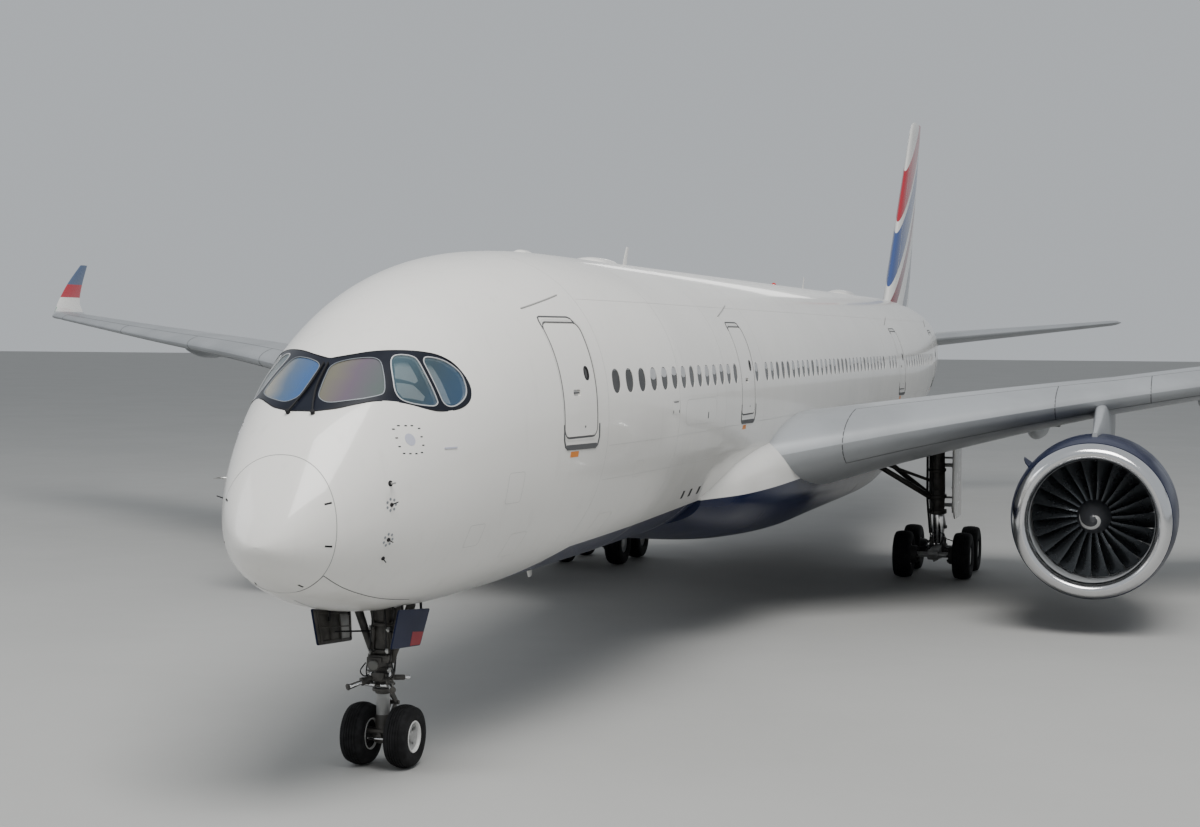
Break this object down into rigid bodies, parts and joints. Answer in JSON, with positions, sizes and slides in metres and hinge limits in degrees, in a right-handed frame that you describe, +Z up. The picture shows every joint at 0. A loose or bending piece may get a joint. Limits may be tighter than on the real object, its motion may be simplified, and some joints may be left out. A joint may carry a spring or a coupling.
{
  "type": "half-size scale model of a wide body twin-jet airliner",
  "caption": "Low-wing twin-jet wide body airliner parked on its gear, with turning wheels and fans, hinged control surfaces, flaps, cargo doors and a steering nose leg.",
  "frame": {"origin": "on the ground midway between nose tip, tail end and wing tips", "axes": "+Y from nose to tail, +X to port, +Z up"},
  "size_m": [32.3684, 33.4, 8.525],
  "materials": {
    "white_paint": "gloss",
    "wing_grey_paint": "satin",
    "navy_paint": "gloss",
    "glazing": "polished",
    "exhaust_metal": "satin",
    "fan_metal": "satin",
    "gear_dark": "satin",
    "gear_light": "satin",
    "tyre": "matte"
  },
  "bodies": {
    "airframe": {"radome": "white_paint", "nose_section": "white_paint", "forward_fuselage": "white_paint", "centre_fuselage": "white_paint", "aft_fuselage": "white_paint", "tail_cone": "white_paint", "cockpit_glazing": "glazing", "belly_fairing": "navy_paint", "passenger_door_1_left": "white_paint", "passenger_door_1_right": "white_paint", "passenger_door_2_left": "white_paint", "passenger_door_2_right": "white_paint", "passenger_door_3_left": "white_paint", "passenger_door_3_right": "white_paint", "passenger_door_4_left": "white_paint", "passenger_door_4_right": "white_paint", "wing_left": "wing_grey_paint", "wing_right": "wing_grey_paint", "wingtip_left": "white_paint", "wingtip_right": "white_paint", "pylon_left": "wing_grey_paint", "pylon_right": "wing_grey_paint", "nacelle_left": "navy_paint", "nacelle_right": "navy_paint", "engine_core_left": "exhaust_metal", "engine_core_right": "exhaust_metal", "fin": "white_paint", "stabiliser_left": "wing_grey_paint", "stabiliser_right": "wing_grey_paint", "nose_gear_leg": "gear_dark", "nose_gear_door_left": "navy_paint", "nose_gear_door_right": "navy_paint", "main_gear_leg_left": "gear_dark", "main_gear_leg_right": "gear_dark", "main_gear_door_left": "white_paint", "main_gear_door_right": "white_paint", "bogie_left": "gear_light", "bogie_right": "gear_light"},
    "steered_fork": {"nose_gear_fork": "gear_light"},
    "nose_wheel_pair": {"nose_wheels": "gear_light", "nose_tyre_left": "tyre", "nose_tyre_right": "tyre"},
    "wheels_left_front": {"main_wheels_left_front": "tyre"},
    "wheels_left_rear": {"main_wheels_left_rear": "tyre"},
    "wheels_right_front": {"main_wheels_right_front": "tyre"},
    "wheels_right_rear": {"main_wheels_right_rear": "tyre"},
    "fan_left": {"fan_left": "fan_metal"},
    "fan_right": {"fan_right": "fan_metal"},
    "rudder": {"rudder": "white_paint"},
    "elevator_left": {"elevator_left": "wing_grey_paint"},
    "elevator_right": {"elevator_right": "wing_grey_paint"},
    "aileron_left": {"aileron_left": "wing_grey_paint"},
    "aileron_right": {"aileron_right": "wing_grey_paint"},
    "flap_inboard_left": {"flap_inboard_left": "wing_grey_paint"},
    "flap_inboard_right": {"flap_inboard_right": "wing_grey_paint"},
    "flap_outboard_left": {"flap_outboard_left": "wing_grey_paint"},
    "flap_outboard_right": {"flap_outboard_right": "wing_grey_paint"},
    "cargo_door_forward": {"cargo_door_forward": "white_paint"},
    "cargo_door_aft": {"cargo_door_aft": "white_paint"}
  },
  "joints": [
    {"name": "nose_steering", "type": "hinge", "parent": "airframe", "child": "steered_fork", "pos_m": [0, -14.5075, 0.66], "axis": [0, 0, 1], "range_deg": [-75, 75]},
    {"name": "nose_wheel_spin", "type": "hinge", "parent": "steered_fork", "child": "nose_wheel_pair", "pos_m": [0, -14.5075, 0.25746], "axis": [1, 0, 0], "continuous": true},
    {"name": "wheel_spin_left_front", "type": "hinge", "parent": "airframe", "child": "wheels_left_front", "pos_m": [2.65, -0.685, 0.34327], "axis": [1, 0, 0], "continuous": true},
    {"name": "wheel_spin_left_rear", "type": "hinge", "parent": "airframe", "child": "wheels_left_rear", "pos_m": [2.65, 0.335, 0.34327], "axis": [1, 0, 0], "continuous": true},
    {"name": "wheel_spin_right_front", "type": "hinge", "parent": "airframe", "child": "wheels_right_front", "pos_m": [-2.65, -0.685, 0.34327], "axis": [1, 0, 0], "continuous": true},
    {"name": "wheel_spin_right_rear", "type": "hinge", "parent": "airframe", "child": "wheels_right_rear", "pos_m": [-2.65, 0.335, 0.34327], "axis": [1, 0, 0], "continuous": true},
    {"name": "fan_spin_left", "type": "hinge", "parent": "airframe", "child": "fan_left", "pos_m": [5.15, -4.9, 1.375], "axis": [0, 1, 0], "continuous": true},
    {"name": "fan_spin_right", "type": "hinge", "parent": "airframe", "child": "fan_right", "pos_m": [-5.15, -4.9, 1.375], "axis": [0, 1, 0], "continuous": true},
    {"name": "rudder_hinge", "type": "hinge", "parent": "airframe", "child": "rudder", "pos_m": [0, 13.89357, 4.75], "axis": [0, 0.466, 0.8848], "range_deg": [-30, 30]},
    {"name": "elevator_hinge_left", "type": "hinge", "parent": "airframe", "child": "elevator_left", "pos_m": [1.25, 14.13367, 3.55764], "axis": [-0.9154, -0.3909, -0.0959], "range_deg": [-30, 15]},
    {"name": "elevator_hinge_right", "type": "hinge", "parent": "airframe", "child": "elevator_right", "pos_m": [-1.25, 14.13367, 3.55764], "axis": [-0.9154, 0.3909, 0.0959], "range_deg": [-30, 15]},
    {"name": "aileron_hinge_left", "type": "hinge", "parent": "airframe", "child": "aileron_left", "pos_m": [12, 2.98188, 3.56608], "axis": [-0.8887, -0.4489, -0.0928], "range_deg": [-25, 25]},
    {"name": "aileron_hinge_right", "type": "hinge", "parent": "airframe", "child": "aileron_right", "pos_m": [-12, 2.98188, 3.56608], "axis": [-0.8887, 0.4489, 0.0928], "range_deg": [-25, 25]},
    {"name": "flap_hinge_inboard_left", "type": "hinge", "parent": "airframe", "child": "flap_inboard_left", "pos_m": [1.975, 0.2425, 1.66766], "axis": [-0.9678, 0.0824, -0.2381], "range_deg": [0, 35]},
    {"name": "flap_hinge_inboard_right", "type": "hinge", "parent": "airframe", "child": "flap_inboard_right", "pos_m": [-1.975, 0.2425, 1.66766], "axis": [-0.9678, -0.0824, 0.2381], "range_deg": [0, 35]},
    {"name": "flap_hinge_outboard_left", "type": "hinge", "parent": "airframe", "child": "flap_outboard_left", "pos_m": [5.5, 0.03203, 2.51745], "axis": [-0.8991, -0.4206, -0.1211], "range_deg": [0, 35]},
    {"name": "flap_hinge_outboard_right", "type": "hinge", "parent": "airframe", "child": "flap_outboard_right", "pos_m": [-5.5, 0.03203, 2.51745], "axis": [-0.8991, 0.4206, 0.1211], "range_deg": [0, 35]},
    {"name": "cargo_door_hinge_forward", "type": "hinge", "parent": "airframe", "child": "cargo_door_forward", "pos_m": [-1.44298, -9.725, 2.4], "axis": [0, 1, 0], "range_deg": [0, 110]},
    {"name": "cargo_door_hinge_aft", "type": "hinge", "parent": "airframe", "child": "cargo_door_aft", "pos_m": [-1.45468, 5.325, 2.45], "axis": [0, 1, 0], "range_deg": [0, 110]}
  ]
}
